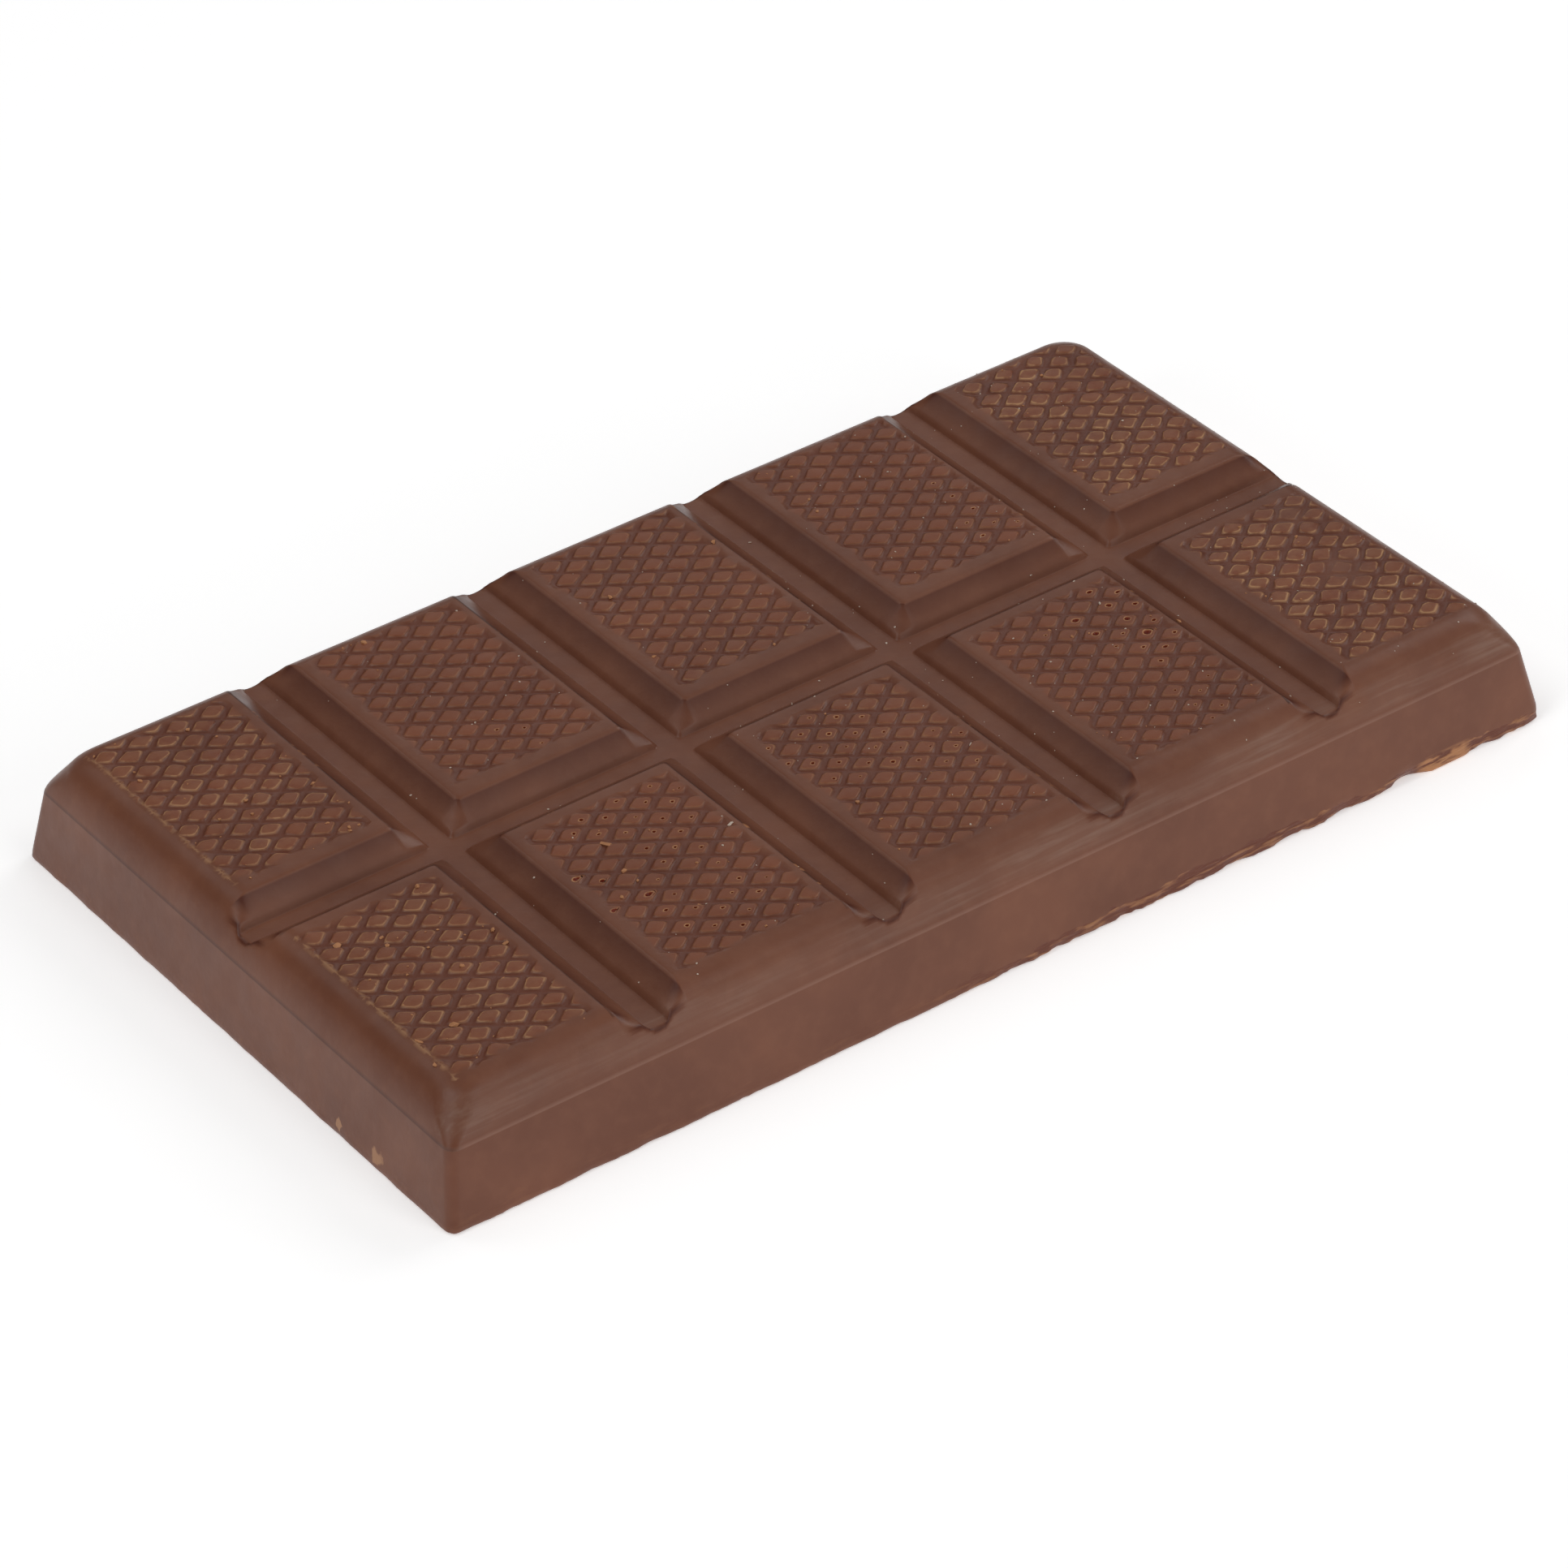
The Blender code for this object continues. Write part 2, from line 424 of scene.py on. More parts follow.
def engraved_field(first_x, last_x, first_y, last_y, pad_x, pad_y, holes, outline, ragged, seed):
    """One field of pads as a mesh of its own, cut to its rectangle.

    A grid of cells is raised ring by ring into pads, pierced, skewed into the lattice, cut to the
    rectangle and faded out towards its edges. The last loop is the flat seam round the field.
    """
    field = bmesh.new()
    brow_wear_and_shade = field.verts.layers.float.new("brow_wear_and_shade")
    rim = field.verts.layers.float.new("rim")
    channel_shade_tone = field.verts.layers.float.new("channel_shade_tone")
    pit = field.verts.layers.float.new("pit")
    place = field.faces.layers.int.new("place")
    dice = random.Random(seed)
    cells = 17
    bmesh.ops.create_grid(field, x_segments=cells, y_segments=cells, size=cells / 2)
    middle_x = (first_x + last_x) / 2
    middle_y = (first_y + last_y) / 2
    steps_x = round((middle_x - pad_x) / (2 * pad_half_x))
    steps_y = round((middle_y - pad_y) / (2 * pad_half_y))
    start = Vector((
        pad_x + 2 * pad_half_x * steps_x,
        pad_y + 2 * pad_half_y * steps_y,
        bar_height - channel_depth,
    ))
    outside = []
    for face in field.faces:
        centre = lattice @ face.calc_center_median() + start
        if not (
            first_x - pad_half_x < centre.x < last_x + pad_half_x
            and first_y - pad_half_y < centre.y < last_y + pad_half_y
        ):
            outside.append(face)
    bmesh.ops.delete(field, geom=outside, context="FACES")
    bmesh.ops.bisect_edges(field, edges=field.edges[:], cuts=2)
    pads = field.faces[:]
    centres = [face.calc_center_median() for face in pads]
    for index, face in enumerate(pads):
        face[place] = index
    spans = [(0.5, 0.5)] * len(pads)
    sizes = [
        (1 + dice.uniform(-0.03, 0.03), 1 + dice.uniform(-0.03, 0.03), dice.uniform(0.88, 1.0))
        for _ in pads
    ]
    weight = [dice.uniform(0.45, 1.0) for _ in pads]
    for across, along, rise, corner, edge in pad_rings:
        pads = bmesh.ops.extrude_discrete_faces(field, faces=pads)["faces"]
        for face in pads:
            index = face[place]
            wide, long, high = sizes[index]
            last_x_span, last_y_span = spans[index]
            spans[index] = (across * wide / 2, along * long / 2)
            radius = min(corner, along / 2)
            for vert in face.verts:
                side = vert.co - centres[index]
                near_x = abs(side.x) > 0.8 * last_x_span
                near_y = abs(side.y) > 0.8 * last_y_span
                at_corner = corner_pull * radius if near_x and near_y else 0.0
                pull_x = at_corner if near_x else radius
                pull_y = at_corner if near_y else radius
                vert.co.x = centres[index].x + math.copysign(spans[index][0] - pull_x, side.x)
                vert.co.y = centres[index].y + math.copysign(spans[index][1] - pull_y, side.y)
                vert.co.z = rise * high
                vert[channel_shade_tone] = rise / channel_depth
                vert[rim] = edge * outline * weight[index]
    pierced = []
    for face in pads:
        centre = lattice @ centres[face[place]] + start
        hole_row = round((pad_y - centre.y) / pad_half_y)
        hole_column = round((centre.x - pad_x) / pad_half_x) + 1
        mark = "."
        if 0 <= hole_row < len(holes) and 0 <= hole_column < len(holes[hole_row]):
            mark = holes[hole_row][hole_column]
        if mark != ".":
            pierced.append((face, mark))
    holed = {face for face, _ in pierced}
    whole = [face for face in pads if face not in holed]
    for vert in bmesh.ops.poke(field, faces=whole, offset=0.012, center_mode="MEAN")["verts"]:
        vert[channel_shade_tone] = 1.0
    inverse = lattice.inverted()
    for face, mark in pierced:
        halo, bore = pinhole_sizes[mark]
        grow = dice.uniform(0.75, 1.25)
        stretch = dice.uniform(0.7, 1.0)
        middle = face.calc_center_median()
        height = middle.z
        shift = Vector((dice.uniform(0.0, 0.4), dice.uniform(-0.3, 0.1), 0.0))
        middle = lattice @ middle + start + shift
        middle.x = min(max(middle.x, first_x + hole_inset), last_x - hole_inset)
        middle.y = min(max(middle.y, first_y + hole_inset), last_y - hole_inset)
        middle -= start
        faces = [face]
        hole_rings = [
            (halo, 0.0, 0.0),
            (bore * 1.3, 0.0, 0.5),
            (bore * 1.1, 0.0, 0.5),
            (bore, 0.04, 1.0),
            (bore * 0.8, pinhole_depth, 1.0),
        ]
        for radius, sink, value in hole_rings:
            faces = bmesh.ops.extrude_discrete_faces(field, faces=faces)["faces"]
            for vert in faces[0].verts:
                spoke = (lattice @ vert.co) - middle
                spoke.z = 0.0
                spoke = spoke.normalized() * radius * grow
                spoke.y *= stretch
                vert.co = inverse @ (middle + spoke)
                vert.co.z = height - sink
                vert[pit] = value
                vert[channel_shade_tone] = 1.0
                vert[rim] = 0.0
    for vert in field.verts:
        spot = lattice @ vert.co + start
        clear = min(spot.x - first_x, last_x - spot.x, spot.y - first_y, last_y - spot.y)
        wander = noise.noise_vector(Vector((vert.co.x, vert.co.y, seed)) * 2.3)
        wander *= ragged * min(1.0, max(0.0, clear - fade_in)) * (0.3 if vert[pit] > 0.0 else 1.0)
        vert.co.x += wander.x
        vert.co.y += wander.y
    bmesh.ops.transform(field, matrix=Matrix.Translation(start) @ lattice, verts=field.verts)
    bmesh.ops.reverse_faces(field, faces=field.faces)
    sides = [
        (Vector((first_x, 0, 0)), Vector((-1, 0, 0))),
        (Vector((last_x, 0, 0)), Vector((1, 0, 0))),
        (Vector((0, first_y, 0)), Vector((0, -1, 0))),
        (Vector((0, last_y, 0)), Vector((0, 1, 0))),
    ]
    for back_off in (0.0, border_run / 2, border_run):
        for corner, outward in sides:
            bmesh.ops.bisect_plane(
                field,
                geom=field.verts[:] + field.edges[:] + field.faces[:],
                dist=0.002,
                plane_co=corner - outward * back_off,
                plane_no=outward,
                clear_outer=back_off == 0.0,
            )
    for vert in field.verts:
        x, y = vert.co.x, vert.co.y
        clear = min(x - first_x, last_x - x, y - first_y, last_y - y)
        margin = min(x - first_x - fade_in, last_x - x, y - first_y - fade_in, last_y - y)
        margin = min(margin, inset_at(x, y) - flat_inset)
        place_on_bar = Vector((x, y, seed))
        margin += 0.45 * noise.noise(place_on_bar * 0.4) + 0.3 * noise.noise(place_on_bar * 1.1)
        share = min(1.0, max(0.0, margin / border_run), max(0.0, clear / 0.5))
        share *= share * (3 - 2 * share)
        share *= 1.0 + 0.16 * noise.noise(place_on_bar * 0.8)
        for smear_x, smear_y, reach in smears:
            away = math.hypot(x - smear_x, y - smear_y) / reach
            away += 0.5 * noise.noise(place_on_bar * 0.9)
            share *= 1.0 - 0.75 * max(0.0, 1.0 - away**2)
        vert.co.z = shoulder_height(x, y) - (bar_height - vert.co.z) * share
        vert[channel_shade_tone] = 0.5 + (vert[channel_shade_tone] - 0.5) * min(1.0, share)
        vert[rim] *= min(1.0, share)
        if (first_x, last_x) == field_columns[0] and abs(x - first_x - border_run / 2) < 0.01:
            vert[rim] = left_border_rub
    border = [vert for vert in field.verts if vert.is_boundary]
    bmesh.ops.remove_doubles(field, verts=border, dist=0.05)
    border = [edge for edge in field.edges if edge.is_boundary]
    grown = bmesh.ops.extrude_edge_only(field, edges=border)
    for vert in (part for part in grown["geom"] if isinstance(part, bmesh.types.BMVert)):
        vert[channel_shade_tone] = 0.5
        vert[rim] = 0.0
        if vert.co.x < first_x + on_border:
            vert.co.x = first_x - seam
        if vert.co.x > last_x - on_border:
            vert.co.x = last_x + seam
        if vert.co.y < first_y + on_border:
            vert.co.y = first_y - seam
        if vert.co.y > last_y - on_border:
            vert.co.y = last_y + seam
        vert.co.z = shoulder_height(vert.co.x, vert.co.y)
    return field


def zip_loops(mesh, outer, inner, middle):
    """Close the gap between two loops, one inside the other, with a strip of triangles."""
    loops = []
    for loop in (outer, inner):
        turned = sorted(
            (math.atan2(vert.co.y - middle.y, vert.co.x - middle.x), index)
            for index, vert in enumerate(loop)
        )
        loops.append([(angle, loop[index]) for angle, index in turned])
        loops[-1].append((turned[0][0] + 2 * math.pi, loop[turned[0][1]]))
    outside, within = loops
    out_step = in_step = 0
    while out_step < len(outer) or in_step < len(inner):
        near = outside[out_step][1]
        far = within[in_step][1]
        outer_next = in_step == len(inner)
        if not outer_next and out_step < len(outer):
            outer_next = outside[out_step + 1][0] <= within[in_step + 1][0]
        if outer_next:
            out_step += 1
            mesh.faces.new((near, outside[out_step][1], far))
        else:
            in_step += 1
            mesh.faces.new((near, within[in_step][1], far))


# What each point's surface is like, for the material: wear and a painted shade line on the brows,
# rubbed rims that also carry a painted highlight, the painted shade tone from channel (0) over
# plain skin (0.5) to pad (1), pinholes, the crease and the groove ends' lips.
for name in ("brow_wear_and_shade", "rim", "channel_shade_tone", "pit", "crease", "lip"):
    bar_mesh.verts.layers.float.new(name)
brow_wear_and_shade = bar_mesh.verts.layers.float["brow_wear_and_shade"]
channel_shade_tone = bar_mesh.verts.layers.float["channel_shade_tone"]
crease = bar_mesh.verts.layers.float["crease"]
lip = bar_mesh.verts.layers.float["lip"]
brow = [
    distance for distance, height in section if bar_height - 0.13 < height < bar_height - 0.025
]
rim_wear_and_highlight_levels = (0.95, 0.25, 0.42, 0.25, 1.3)
ragged_outlines = (0.11, 0.08, 0.08, 0.07, 0.14)
for vert in bar_mesh.verts:
    vert[channel_shade_tone] = 0.5
    vert[crease] = 1.0 if abs(vert.co.z - crease_height) < 0.02 else 0.0
    across = min((vert.co.x - centre for centre in groove_centres), key=abs)
    distance = across if abs(across) < abs(vert.co.y) else vert.co.y
    if -brow[-1] - 0.01 < distance < 0.01 - brow[0] and vert.co.z > bar_height - 0.35:
        vert[brow_wear_and_shade] = 1.0
    cut = top_height(vert.co.x, vert.co.y)
    if vert.co.z > crease_height + 0.1 and cut < bar_height - 0.15:
        vert[lip] = max(0.0, 1.0 - abs(cut - side_height(vert.co.x, vert.co.y)) / 0.55)
for column, (first_x, last_x) in enumerate(field_columns):
    for row, (first_y, last_y) in field_rows.items():
        field = engraved_field(
            first_x,
            last_x,
            first_y,
            last_y,
            *first_pads[row][column],
            pinholes.get((column, row), []),
            rim_wear_and_highlight_levels[column],
            ragged_outlines[column],
            column + len(row) * 7,
        )
        patch_data = bpy.data.meshes.new("engraved_field")
        field.to_mesh(patch_data)
        field.free()
        bar_mesh.from_mesh(patch_data)
        bpy.data.meshes.remove(patch_data)
        outer = []
        inner = []
        for vert in [vert for vert in bar_mesh.verts if vert.is_boundary]:
            x, y = vert.co.x, vert.co.y
            clear = min(x - first_x, last_x - x, y - first_y, last_y - y)
            if abs(clear + opening_margin) < 0.02:
                outer.append(vert)
            elif abs(clear + seam) < 0.02:
                inner.append(vert)
        middle = Vector(((first_x + last_x) / 2, (first_y + last_y) / 2, 0.0))
        zip_loops(bar_mesh, outer, inner, middle)

bmesh.ops.recalc_face_normals(bar_mesh, faces=bar_mesh.faces)
surface = BVHTree.FromBMesh(bar_mesh)
bmesh.ops.scale(bar_mesh, verts=bar_mesh.verts, vec=(0.001, 0.001, 0.001))
for face in bar_mesh.faces:
    face.smooth = True
bar_data = bpy.data.meshes.new("moulded_bar")
bar_mesh.to_mesh(bar_data)
bar_mesh.free()
bar = bpy.data.objects.new("moulded_bar", bar_data)
scene.collection.objects.link(bar)


def linear(hex_colour):
    """An sRGB hex colour as linear values."""
    values = [int(hex_colour[index : index + 2], 16) / 255 for index in (1, 3, 5)]
    return [v / 12.92 if v <= 0.04045 else ((v + 0.055) / 1.055) ** 2.4 for v in values] + [1.0]


def add_node(tree, kind, settings=None, inputs=None):
    """Add a node, set its properties and its sockets, and link the sockets that are given one."""
    node = tree.nodes.new(kind)
    for name, value in (settings or {}).items():
        setattr(node, name, value)
    for socket, value in (inputs or {}).items():
        if isinstance(value, bpy.types.NodeSocket):
            tree.links.new(value, node.inputs[socket])
        else:
            node.inputs[socket].default_value = value
    return node


# Tempered milk chocolate: a satin brown skin taken from the mould, clouded where the mix set
# unevenly. The channels between the engraved pads are painted darker and the pads a little warmer,
# as painted shade. Raised rims are rubbed to a pale tan that is partly a painted highlight, brows
# are rubbed tan and carry a thin painted shade line, and each pinhole is dark inside a tan ring.
# The front shoulder has fine brushed streaks painted pale as a sheen, the groove ends a painted
# shade rim, the crease a painted highlight line on the front and a painted shade line on the left
# end, and along the foot runs a torn darker band with tan scrapes. The finest scrapes are drawn
# coarser than they are.
chocolate = bpy.data.materials.new("tempered_milk_chocolate")
chocolate.use_nodes = True
tree = chocolate.node_tree
tree.nodes.clear()
place = add_node(tree, "ShaderNodeTexCoord").outputs["Object"]
channel_shade_tones, rims, brows, pits, creases, lips = (
    add_node(tree, "ShaderNodeAttribute", {"attribute_name": name}).outputs["Fac"]
    for name in ("channel_shade_tone", "rim", "brow_wear_and_shade", "pit", "crease", "lip")
)


def colour_steps(factor, steps):
    """A colour ramp through (position, hex colour) steps."""
    ramp = add_node(tree, "ShaderNodeValToRGB", inputs={0: factor})
    elements = ramp.color_ramp.elements
    for element, (position, colour) in zip(elements, (steps[0], steps[-1])):
        element.position = position
        element.color = linear(colour)
    for position, colour in steps[1:-1]:
        elements.new(position).color = linear(colour)
    return ramp.outputs[0]


def clouds(grain, detail=3.0):
    """Soft noise whose clouds are about so many millimetres across."""
    sockets = {"Vector": place, "Scale": 1000.0 / grain, "Detail": detail}
    return add_node(tree, "ShaderNodeTexNoise", inputs=sockets).outputs[0]


def spread(value, low, high, out_low=0.0, out_high=1.0):
    """A value's range mapped onto another, held at its ends."""
    sockets = {0: value, 1: low, 2: high, 3: out_low, 4: out_high}
    return add_node(tree, "ShaderNodeMapRange", inputs=sockets).outputs[0]


def combine(operation, first, second):
    """Two values, or a value and a number, put together."""
    settings = {"operation": operation}
    return add_node(tree, "ShaderNodeMath", settings, {0: first, 1: second}).outputs[0]


def blend(factor, under, over, kind="MIX"):
    """One colour laid over another."""
    settings = {"data_type": "RGBA", "blend_type": kind}
    return add_node(tree, "ShaderNodeMix", settings, {0: factor, 6: under, 7: over}).outputs[2]


def drawn_noise(stretch, scale, detail):
    """Noise whose grain is drawn out by shares of its size along each axis."""
    drawn = add_node(tree, "ShaderNodeMapping", inputs={"Vector": place, "Scale": stretch})
    sockets = {"Vector": drawn.outputs[0], "Scale": scale, "Detail": detail}
    return add_node(tree, "ShaderNodeTexNoise", inputs=sockets).outputs[0]


# Painted shade: the channels between the pads are coloured darker than the plain skin, and the pad
# tops a little lighter and warmer.
skin = colour_steps(channel_shade_tones, [(0.0, "#6f4030"), (0.5, "#7c4e3b"), (1.0, "#854d35")])
mottle = colour_steps(clouds(9.0), [(0.32, "#e6e0dc"), (0.5, "#f2efec"), (0.68, "#fffdf8")])
skin = blend(1.0, skin, mottle, "MULTIPLY")
skin = blend(spread(clouds(1.3, 5.0), 0.45, 0.75, 0.0, 0.12), skin, linear("#9a6a50"))
# A thin painted shade line along the groove brows, where the brow turns away from the light.
brow_shade_line = combine("MULTIPLY", brows, spread(clouds(5.0), 0.4, 0.62, 0.75, 0.35))
skin = blend(brow_shade_line, skin, linear("#3c1c12"))
axes = add_node(tree, "ShaderNodeSeparateXYZ", inputs={0: place}).outputs
to_front = spread(axes[1], -0.0285, -0.0295)
to_left = spread(axes[0], -0.0515, -0.0525)
# The crease: a painted highlight line along the front and a painted shade line along the left end.
front_crease_highlight = combine("MULTIPLY", creases, combine("MULTIPLY", to_front, 0.38))
left_crease_shade = combine("MULTIPLY", creases, combine("MULTIPLY", to_left, 0.55))
skin = blend(front_crease_highlight, skin, linear("#a07c6c"))
skin = blend(left_crease_shade, skin, linear("#38190f"))
scrapes = drawn_noise((0.25, 1.0, 1.6), 1700.0, 6.0)
on_shoulder = combine("MULTIPLY", spread(axes[2], 0.0070, 0.0078), spread(axes[2], 0.0101, 0.0094))
on_shoulder = combine("MULTIPLY", on_shoulder, spread(axes[1], -0.0270, -0.0285))
on_shoulder = combine("MULTIPLY", on_shoulder, spread(lips, 0.0, 0.25, 1.0, 0.0))
# Brushed streaks on the front shoulder, painted pale and greyish as a sheen.
brushed_sheen = spread(drawn_noise((0.07, 1.0, 1.0), 2200.0, 3.0), 0.45, 0.68, 0.1, 0.28)
brushed_sheen = combine("MULTIPLY", brushed_sheen, spread(clouds(11.0, 1.0), 0.35, 0.6, 0.35, 1.0))
skin = blend(combine("MULTIPLY", on_shoulder, brushed_sheen), skin, linear("#a38c7e"))
# A painted shade rim where each groove runs out over the side.
skin = blend(spread(lips, 0.1, 0.8, 0.0, 0.75), skin, linear("#45190f"))
foot_line = spread(clouds(2.5, 3.0), 0.3, 0.7, 0.0008, 0.0017)
foot_band = spread(combine("SUBTRACT", foot_line, axes[2]), 0.0, 0.0001)
foot_band = combine("MULTIPLY", foot_band, spread(axes[0], -0.010, 0.0, 0.1, 1.0))
skin = blend(combine("MULTIPLY", foot_band, 0.62), skin, linear("#683324"))
scraped = combine("MULTIPLY", foot_band, spread(scrapes, 0.5, 0.64, 0.0, 0.8))
skin = blend(scraped, skin, linear("#a8744e"))
bite = combine("MULTIPLY", spread(axes[0], 0.0405, 0.0415), spread(axes[0], 0.0465, 0.0455))
bite = combine("MULTIPLY", bite, combine("MULTIPLY", to_front, spread(axes[2], 0.0016, 0.0012)))
bite = combine("MULTIPLY", bite, spread(scrapes, 0.4, 0.5, 0.0, 0.85))
skin = blend(bite, skin, linear("#bb8358"))
for spot_y, spot_size in ((-0.0156, 0.0005), (-0.0211, 0.0008)):
    spot = {0: place, 1: (-0.0540, spot_y, 0.0012)}
    away = add_node(tree, "ShaderNodeVectorMath", {"operation": "DISTANCE"}, spot).outputs["Value"]
    away = combine("ADD", away, spread(clouds(0.7, 2.0), 0.3, 0.7, -0.00025, 0.00025))
    skin = blend(spread(away, spot_size, spot_size * 0.7, 0.0, 0.85), skin, linear("#b0805c"))
# Pale tan on the pad rims: partly rubbing, partly a painted highlight where the rims catch the
# light.
rim_wear_and_highlight = combine("MULTIPLY", rims, spread(clouds(0.9, 4.0), 0.36, 0.54))
skin = blend(combine("MULTIPLY", rim_wear_and_highlight, 0.9), skin, linear("#ba8e66"))
brow_worn = combine("MULTIPLY", brows, spread(clouds(1.1, 4.0), 0.58, 0.66))
brow_worn = combine("MULTIPLY", brow_worn, spread(clouds(14.0, 1.0), 0.5, 0.6))
skin = blend(combine("MULTIPLY", brow_worn, 0.8), skin, linear("#b0764e"))
broken = spread(clouds(0.8, 2.0), 0.35, 0.6, 0.25, 0.85)
halos = combine("MULTIPLY", spread(pits, 0.15, 0.45), broken)
skin = blend(halos, skin, linear("#b8855a"))
skin = blend(spread(pits, 0.6, 0.9), skin, linear("#7a2c14"))
sheen = spread(clouds(2.2, 4.0), 0.35, 0.65, 0.32, 0.42)
sheen = combine("ADD", sheen, combine("MULTIPLY", combine("ADD", rim_wear_and_highlight, brow_worn), 0.2))
relief = {"Strength": 0.35, "Distance": 0.00004, "Height": clouds(0.5, 4.0)}
grain = add_node(tree, "ShaderNodeBump", inputs=relief).outputs[0]
relief = {"Strength": combine("MULTIPLY", foot_band, 0.8), "Distance": 0.0003, "Height": scrapes}
torn = add_node(tree, "ShaderNodeBump", inputs={**relief, "Normal": grain}).outputs[0]
relief = {"Strength": 0.25, "Distance": 0.0002, "Height": clouds(7.0, 1.0)}
swell = add_node(tree, "ShaderNodeBump", inputs={**relief, "Normal": torn}).outputs[0]
surface_finish = {"Roughness": sheen, "IOR": 1.46, "Specular IOR Level": 0.3, "Normal": swell}
shader = add_node(tree, "ShaderNodeBsdfPrincipled", inputs={"Base Color": skin, **surface_finish})
add_node(tree, "ShaderNodeOutputMaterial", inputs={"Surface": shader.outputs["BSDF"]})
bar.data.materials.append(chocolate)
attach(bar, "root")
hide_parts("chocolate_bar")

# The crumbs: tan flakes of chocolate rubbed off the raised edges, lying on the pads and borders.
# Each is a small squashed ball, settled a little into the surface under it. Cocoa crumb is dry and
# broken, so it is matt and paler than the skin.


def scatter(name, colour, seed, spots):
    """One mesh of small grains, each given as plan position, length, width and height."""
    dice = random.Random(seed)
    grains = bmesh.new()
    for x, y, length, width, height in spots:
        under, facing, _, _ = surface.ray_cast(Vector((x, y, 30.0)), Vector((0.0, 0.0, -1.0)))
        if under is None:
            continue
        lie = facing.to_track_quat("Z", "Y").to_matrix().to_4x4()
        turn = lie @ Euler((0.0, 0.0, dice.uniform(0.0, 6.3))).to_matrix().to_4x4()
        shape = Matrix.Diagonal((length / 2, width / 2, height / 2, 1.0))
        lift = Matrix.Translation(under + facing * height * 0.15)
        ball = bmesh.ops.create_icosphere(
            grains, subdivisions=1, radius=1.0, matrix=lift @ turn @ shape
        )
        for vert in ball["verts"]:
            vert.co += noise.noise_vector(vert.co * 5.0) * width * 0.3
    bmesh.ops.scale(grains, verts=grains.verts, vec=(0.001, 0.001, 0.001))
    grains_data = bpy.data.meshes.new(name)
    grains.to_mesh(grains_data)
    grains.free()
    item = bpy.data.objects.new(name, grains_data)
    scene.collection.objects.link(item)
    finish = bpy.data.materials.new(colour[0])
    finish.use_nodes = True
    tree = finish.node_tree
    tree.nodes.clear()
    place = add_node(tree, "ShaderNodeTexCoord").outputs["Object"]
    mottle = {"Vector": place, "Scale": 900.0}
    cloud = add_node(tree, "ShaderNodeTexNoise", inputs=mottle).outputs[0]
    tints = {0: cloud, 6: linear(colour[1]), 7: linear(colour[2])}
    mixed = add_node(tree, "ShaderNodeMix", {"data_type": "RGBA"}, tints).outputs[2]
    matt = {"Base Color": mixed, "Roughness": 0.75}
    shader = add_node(tree, "ShaderNodeBsdfPrincipled", inputs=matt)
    add_node(tree, "ShaderNodeOutputMaterial", inputs={"Surface": shader.outputs["BSDF"]})
    item.data.materials.append(finish)
    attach(item, "root")
    return item


dice = random.Random(5)
crumb_counts = {"front": (34, 12, 10, 14, 22), "back": (30, 7, 5, 8, 14)}
crumbs = [
    (-24.06, -9.47, 1.5, 0.5, 0.35),
    (30.26, -13.12, 0.5, 0.4, 0.3),
    (-47.83, -7.29, 1.0, 0.55, 0.35),
    (-46.29, -21.3, 0.8, 0.65, 0.4),
    (-44.82, -9.72, 0.5, 0.4, 0.3),
    (-49.55, -21.45, 0.8, 0.3, 0.25),
]
for column, (first_x, last_x) in enumerate(field_columns):
    for row, (first_y, last_y) in field_rows.items():
        for _ in range(crumb_counts[row][column]):
            size = 0.12 + 0.3 * dice.random() ** 3
            crumbs.append((
                dice.uniform(first_x, last_x),
                dice.uniform(first_y, last_y),
                size * dice.uniform(1.0, 1.8),
                size,
                size * 0.7,
            ))
flakes = scatter("rubbed_flakes", ("cocoa_crumb", "#c58b5e", "#a06a45"), 3, crumbs)

# The dust: pale specks of sugar bloom, fallen most thickly over the right end of the bar. Each is a
# squashed ball about a tenth of a millimetre across. Sugar dust is dry, so it is matt and pale.
specks = [
    (-14.94, -13.36, 0.7, 0.25, 0.15),
    (26.67, -7.25, 0.6, 0.22, 0.15),
    (6.31, -16.6, 0.4, 0.15, 0.12),
]
speck_count = 330
dusted_half_width = bar_width / 2 - 2.0
for _ in range(speck_count):
    size = 0.08 + 0.12 * dice.random() ** 3
    specks.append((
        bar_length * (0.5 - 0.85 * dice.random() ** 1.6),
        dice.uniform(-dusted_half_width, dusted_half_width),
        size * dice.uniform(1.0, 1.5),
        size,
        size * 0.7,
    ))
dust = scatter("sugar_specks", ("sugar_dust", "#d9cbbd", "#b9a491"), 4, specks)

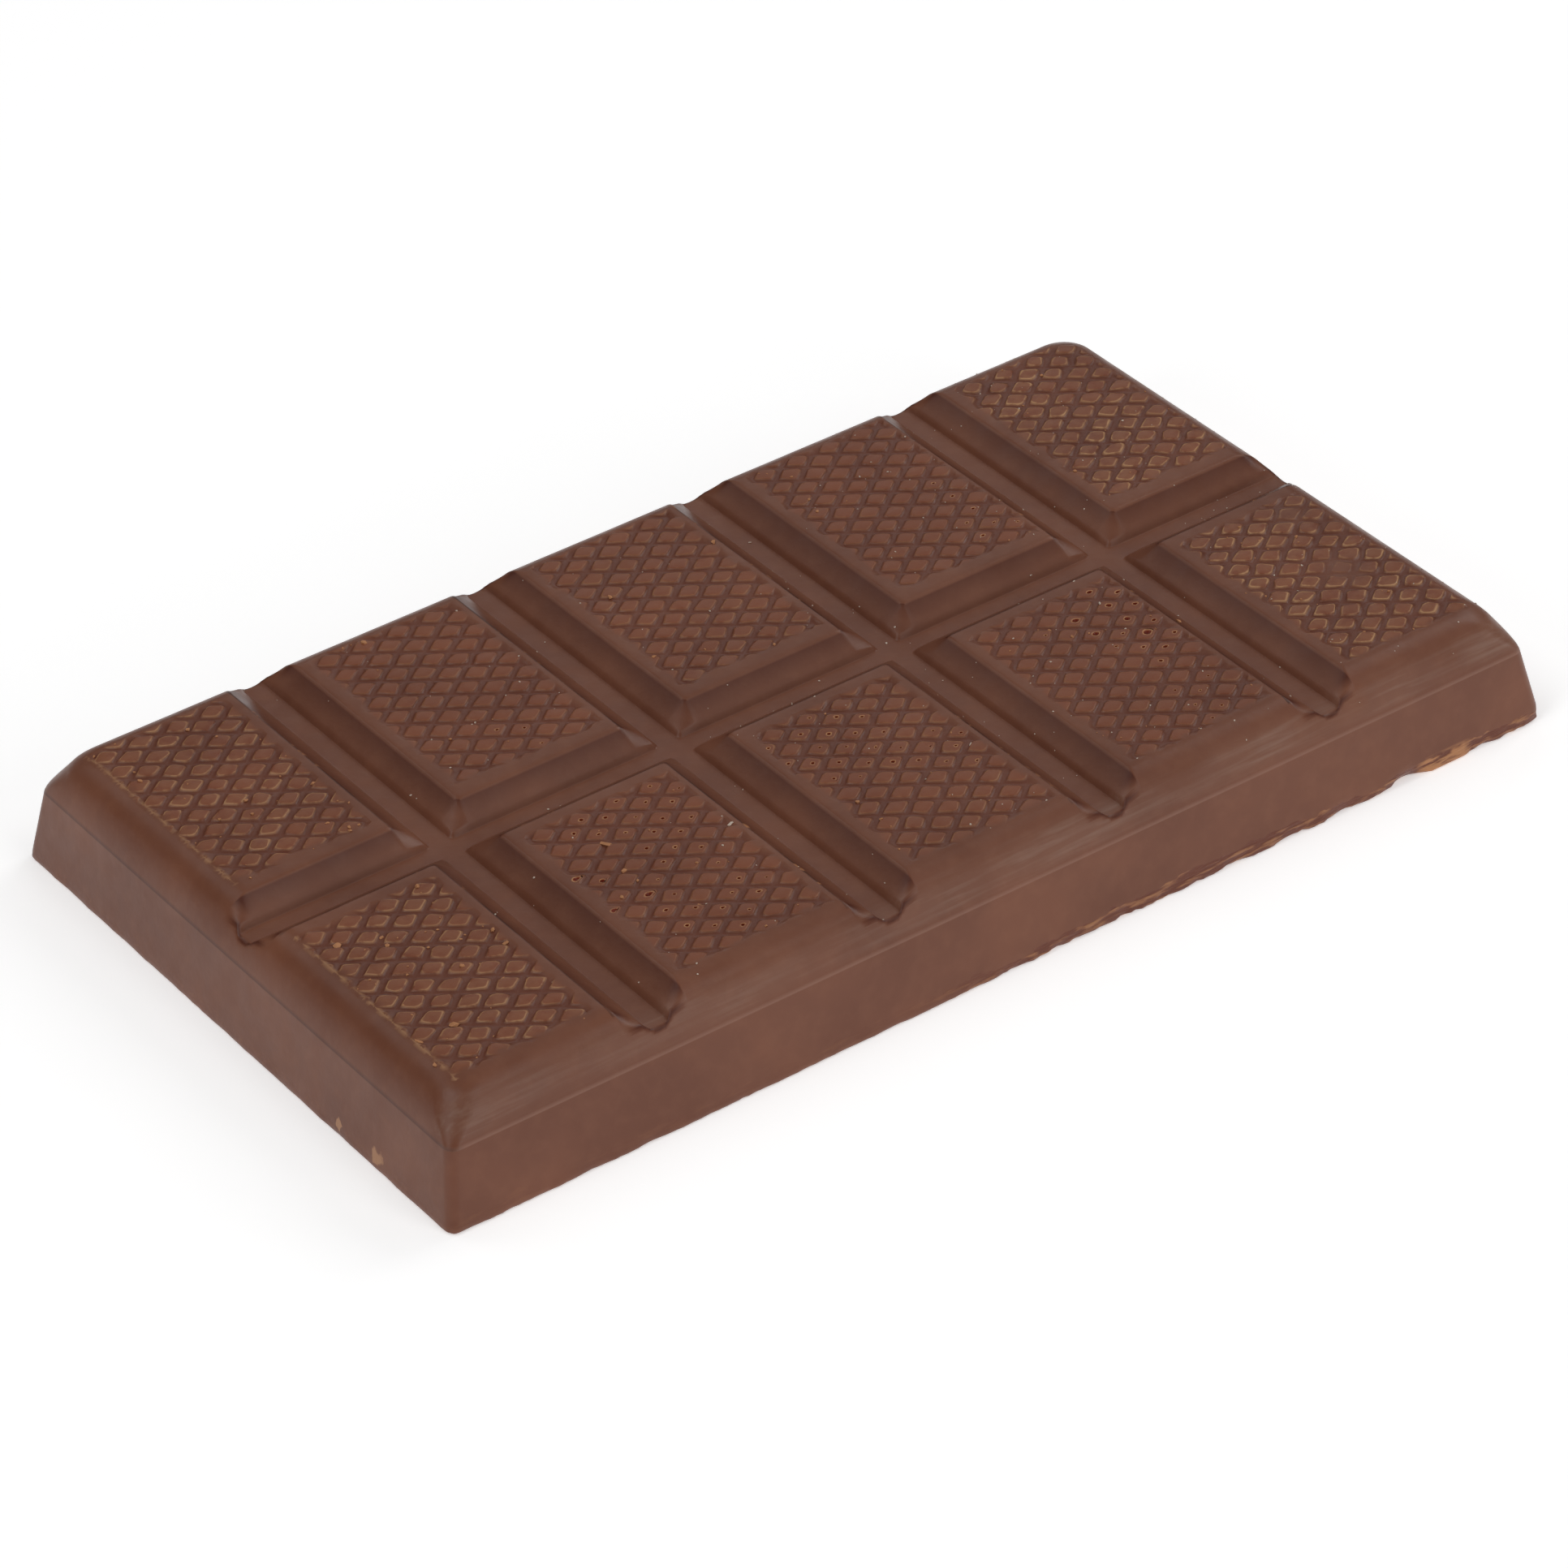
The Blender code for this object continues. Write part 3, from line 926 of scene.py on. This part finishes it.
# The floor: a plain sheet of matt white card that the bar lies on, lit a little from below so that
# it stays white right up to the bar. It is not part of the object.
floor_mesh = bmesh.new()
bmesh.ops.create_grid(floor_mesh, x_segments=1, y_segments=1, size=2.0)
floor_data = bpy.data.meshes.new("floor")
floor_mesh.to_mesh(floor_data)
floor_mesh.free()
floor = bpy.data.objects.new("floor", floor_data)
scene.collection.objects.link(floor)
paper = bpy.data.materials.new("matt_white_card")
paper.use_nodes = True
paper_shader = paper.node_tree.nodes["Principled BSDF"]
paper_shader.inputs["Base Color"].default_value = linear("#f4f4f4")
paper_shader.inputs["Roughness"].default_value = 0.9
paper_shader.inputs["Emission Color"].default_value = (1.0, 1.0, 1.0, 1.0)
paper_shader.inputs["Emission Strength"].default_value = 0.44
floor.data.materials.append(paper)

# The light: a nearly dark studio with eleven soft boxes round the bar, each aimed at it from the
# same distance. High left and right are brightest and the back is dimmest, which draws the grooves.
# It makes no piece of the object.
studio = bpy.data.worlds.new("studio")
scene.world = studio
studio.use_nodes = True
studio.node_tree.nodes["Background"].inputs["Color"].default_value = (1.0, 1.0, 1.0, 1.0)
studio.node_tree.nodes["Background"].inputs["Strength"].default_value = 0.02


box_distance = 1.0
box_size = 0.45


def soft_box(name, azimuth, elevation, power):
    """A square area light that faces the bar from a direction."""
    light_data = bpy.data.lights.new(name, "AREA")
    light_data.shape = "SQUARE"
    light_data.size = box_size
    light_data.energy = power
    light = bpy.data.objects.new(name, light_data)
    scene.collection.objects.link(light)
    azimuth = math.radians(azimuth)
    elevation = math.radians(elevation)
    direction = Vector((
        math.sin(azimuth) * math.cos(elevation),
        -math.cos(azimuth) * math.cos(elevation),
        math.sin(elevation),
    ))
    light.location = direction * box_distance
    light.rotation_mode = "QUATERNION"
    light.rotation_quaternion = direction.to_track_quat("Z", "Y")


soft_box("left_low_soft_box", -79, 8, 0.4)
soft_box("left_soft_box", -79, 28, 1.2)
soft_box("left_top_soft_box", -94, 60, 2.0)
soft_box("front_low_soft_box", 11, 8, 1.1)
soft_box("front_soft_box", 11, 28, 1.1)
soft_box("front_top_soft_box", 26, 60, 1.3)
soft_box("right_low_soft_box", 56, 8, 1.3)
soft_box("right_soft_box", 101, 42, 1.8)
soft_box("back_soft_box", 146, 28, 0.5)
soft_box("back_top_soft_box", 146, 60, 0.25)
soft_box("back_left_soft_box", 200, 48, 0.8)
scene.view_settings.view_transform = "Standard"
